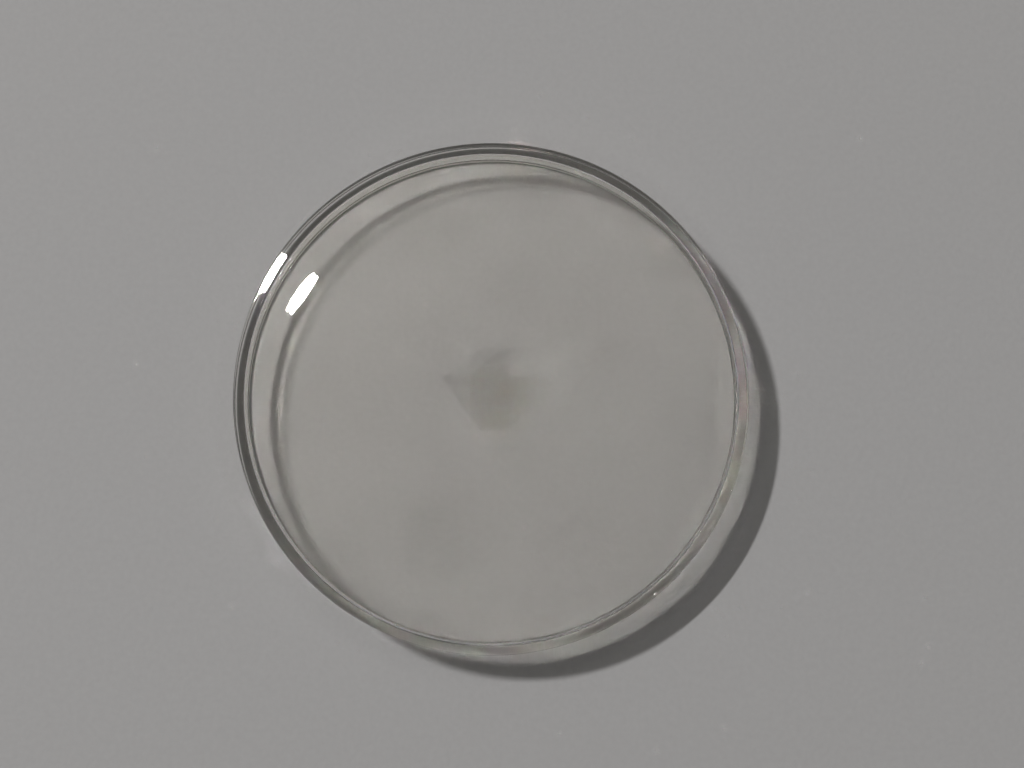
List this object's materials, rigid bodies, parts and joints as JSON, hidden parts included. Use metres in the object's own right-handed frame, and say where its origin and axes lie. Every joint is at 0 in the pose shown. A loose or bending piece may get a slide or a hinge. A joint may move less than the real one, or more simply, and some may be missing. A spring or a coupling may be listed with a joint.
{
  "type": "watch crystal",
  "caption": "Clear round high-domed wristwatch crystal with a thin upright snap-in wall, a narrow ledge round the dome and a hollow underside.",
  "frame": {"origin": "centre of the foot's flat ring, on the plane that the crystal rests on", "axes": "+Z is the axis of revolution and points out through the dome; X and Y are free, because the part is round"},
  "size_m": [0.032, 0.032, 0.0053],
  "materials": {
    "clear_acrylic": "polished clear acrylic, water-white"
  },
  "bodies": {
    "root": {"crystal": "clear_acrylic"}
  },
  "joints": []
}
